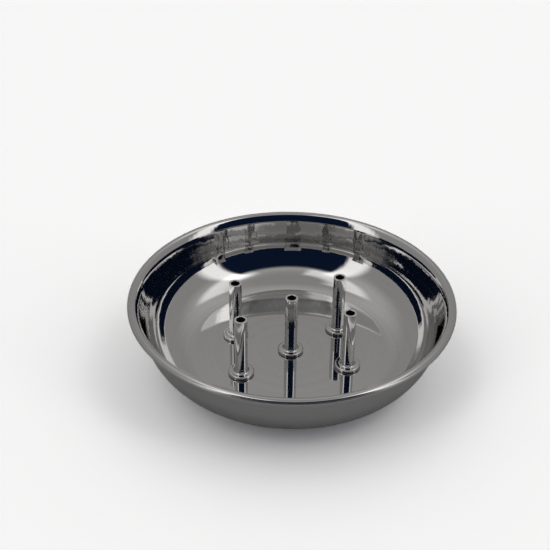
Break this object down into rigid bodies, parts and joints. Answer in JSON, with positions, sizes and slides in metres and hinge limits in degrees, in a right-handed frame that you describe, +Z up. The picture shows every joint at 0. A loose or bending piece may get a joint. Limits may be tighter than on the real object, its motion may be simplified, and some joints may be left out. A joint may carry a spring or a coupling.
{
  "type": "flower frog",
  "caption": "Shallow polished steel dish with upright stem tubes on its flat floor, each in a round foot collar screwed down from beneath; a rubber ring under the floor.",
  "frame": {"origin": "centre of the dish on the surface that it stands on, at the underside of the base ring", "axes": "+Z up along the dish's axis, out of its open top; +X to the right and +Y to the back, with the outer stem tubes on a rectangle whose long sides lie along X"},
  "size_m": [0.2, 0.2, 0.0488],
  "materials": {
    "dish_steel": "mirror polished inside and on the lip, satin outside",
    "tube_steel": "bright drawn stainless tube, polished",
    "collar_steel": "turned stainless, polished",
    "washer_steel": "plain stamped stainless washer",
    "screw_steel": "plain stainless button-head screw",
    "seal_rubber": "matt black rubber",
    "ring_rubber": "matt black non-slip rubber"
  },
  "bodies": {
    "root": {"dish": "dish_steel", "base_ring": "ring_rubber", "stem_tube_centre": "tube_steel", "stem_tube_back_right": "tube_steel", "stem_tube_back_left": "tube_steel", "stem_tube_front_left": "tube_steel", "stem_tube_front_right": "tube_steel", "foot_collar_centre": "collar_steel", "foot_collar_back_right": "collar_steel", "foot_collar_back_left": "collar_steel", "foot_collar_front_left": "collar_steel", "foot_collar_front_right": "collar_steel", "sealing_washer_centre": "seal_rubber", "sealing_washer_back_right": "seal_rubber", "sealing_washer_back_left": "seal_rubber", "sealing_washer_front_left": "seal_rubber", "sealing_washer_front_right": "seal_rubber", "backing_washers": "washer_steel", "fixing_screws": "screw_steel"}
  },
  "joints": []
}
